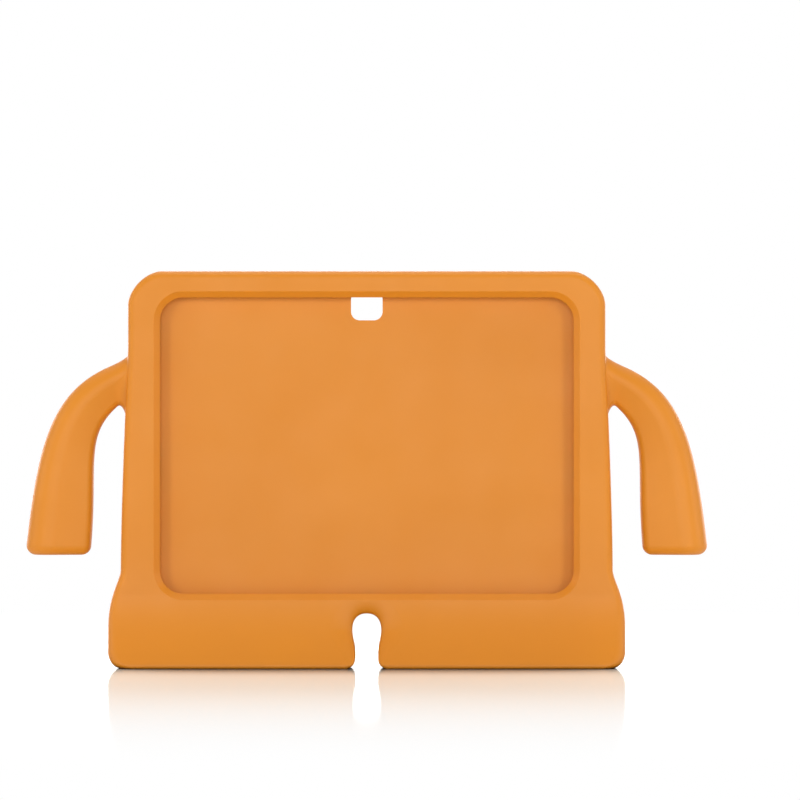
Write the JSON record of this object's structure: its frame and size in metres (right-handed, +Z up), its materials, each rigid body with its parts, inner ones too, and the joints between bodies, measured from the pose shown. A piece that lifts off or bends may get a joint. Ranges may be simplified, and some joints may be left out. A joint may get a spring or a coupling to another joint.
{
  "type": "silicone tablet case",
  "caption": "Soft free-standing frame case for a ten inch tablet, with feet and two hanging arms as grips.",
  "frame": {"origin": "on the ground under the middle of the case, halfway between the arms and between toe and heel", "axes": "+X to the viewer's right along the screen, -Y the way the screen faces, +Z up"},
  "size_m": [0.3884, 0.0508, 0.226],
  "materials": {
    "moulded_rubber": "matte"
  },
  "bodies": {
    "root": {"tablet_case": "moulded_rubber"}
  },
  "joints": []
}
